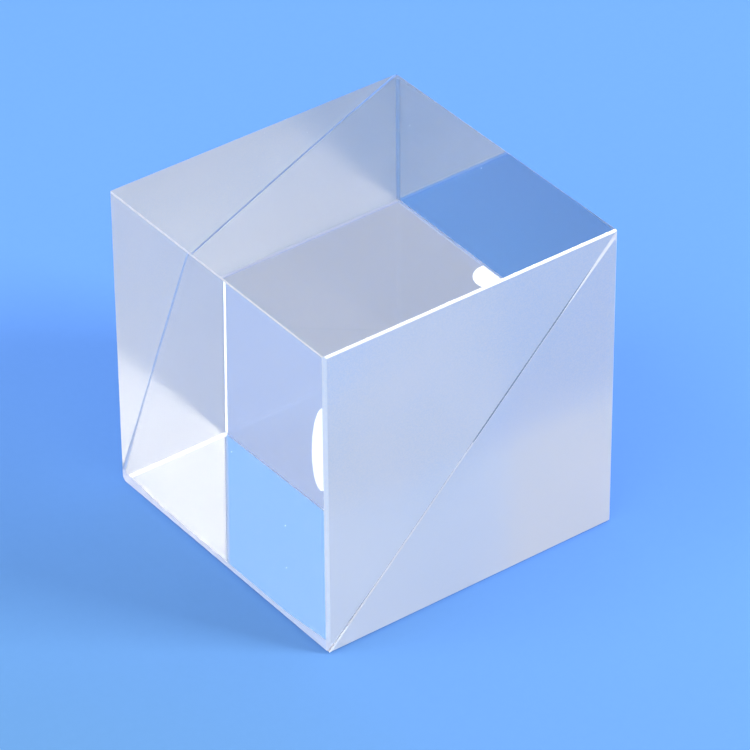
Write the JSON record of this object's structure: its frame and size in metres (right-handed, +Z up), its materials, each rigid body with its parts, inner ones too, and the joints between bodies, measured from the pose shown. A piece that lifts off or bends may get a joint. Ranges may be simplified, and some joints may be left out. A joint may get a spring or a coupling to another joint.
{
  "type": "cube beamsplitter",
  "caption": "Glass cube of cemented right-angle prisms with a diagonal film that passes part of a light beam and turns the rest through a right angle.",
  "frame": {"origin": "centre of the base, on the surface the cube stands on", "axes": "+Z up; the splitting plane rises along +X at 45 degrees; the ground ends face -Y and +Y"},
  "size_m": [0.0254, 0.0254, 0.0254],
  "materials": {
    "upper_glass": "clear crown glass, polished on the two leg faces, fine ground on the ends and bevels",
    "lower_glass": "clear crown glass, polished on the two leg faces, fine ground on the ends and bevels",
    "film": "partly reflecting coating, about half passed and half reflected",
    "cement": "clear optical cement"
  },
  "bodies": {
    "root": {"upper_prism": "upper_glass", "splitter_film": "film", "cement_layer": "cement", "lower_prism": "lower_glass"}
  },
  "joints": []
}
